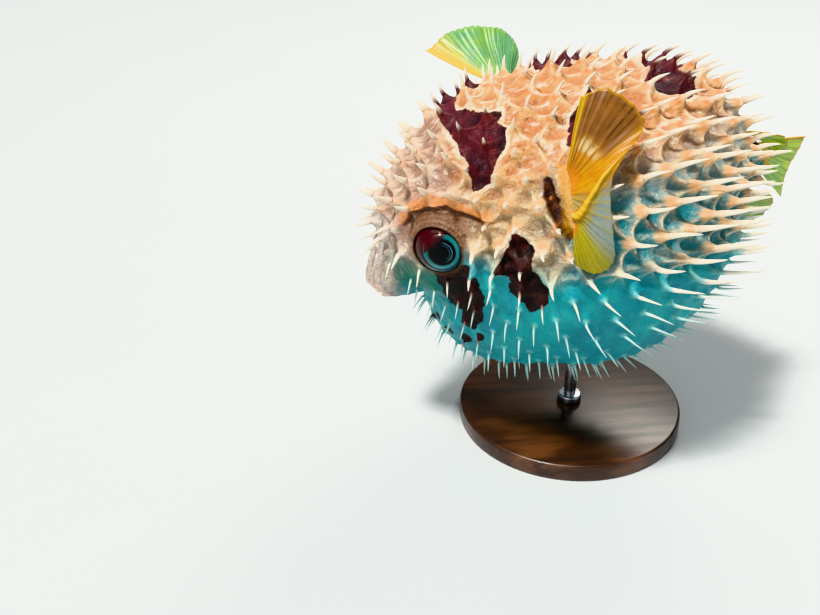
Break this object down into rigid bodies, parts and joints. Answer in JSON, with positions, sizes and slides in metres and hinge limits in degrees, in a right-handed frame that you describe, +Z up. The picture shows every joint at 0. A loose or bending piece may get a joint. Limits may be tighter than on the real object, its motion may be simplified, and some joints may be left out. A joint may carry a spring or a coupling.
{
  "type": "inflated porcupinefish model on a display stand",
  "caption": "Still, life-size model of a blown-up spiny porcupinefish with spread breast fins, held over a round base by one upright rod",
  "frame": {"origin": "middle of the flat underside of the stand's base", "axes": "+Z up, -X the way the fish faces, -Y its left side"},
  "size_m": [0.2819, 0.2336, 0.2584],
  "materials": {
    "skin": "painted cream and sand skin with dark blotches, paler below, satin",
    "eye": "glossy dark eye with a blue-green and maroon ring",
    "beak": "ivory tooth plate",
    "fin": "thin yellow-olive web with darker rays",
    "stand_wood": "dark oiled wood",
    "stand_steel": "brushed"
  },
  "bodies": {
    "root": {"head": "skin", "back": "skin", "belly": "skin", "tail_root": "skin", "eye_left": "eye", "eye_right": "eye", "beak_upper": "beak", "beak_lower": "beak", "pectoral_fin_left": "fin", "pectoral_fin_right": "fin", "dorsal_fin": "fin", "caudal_fin": "fin", "anal_fin": "fin", "stand_base": "stand_wood", "stand_rod": "stand_steel", "stand_collar": "stand_steel"}
  },
  "joints": []
}
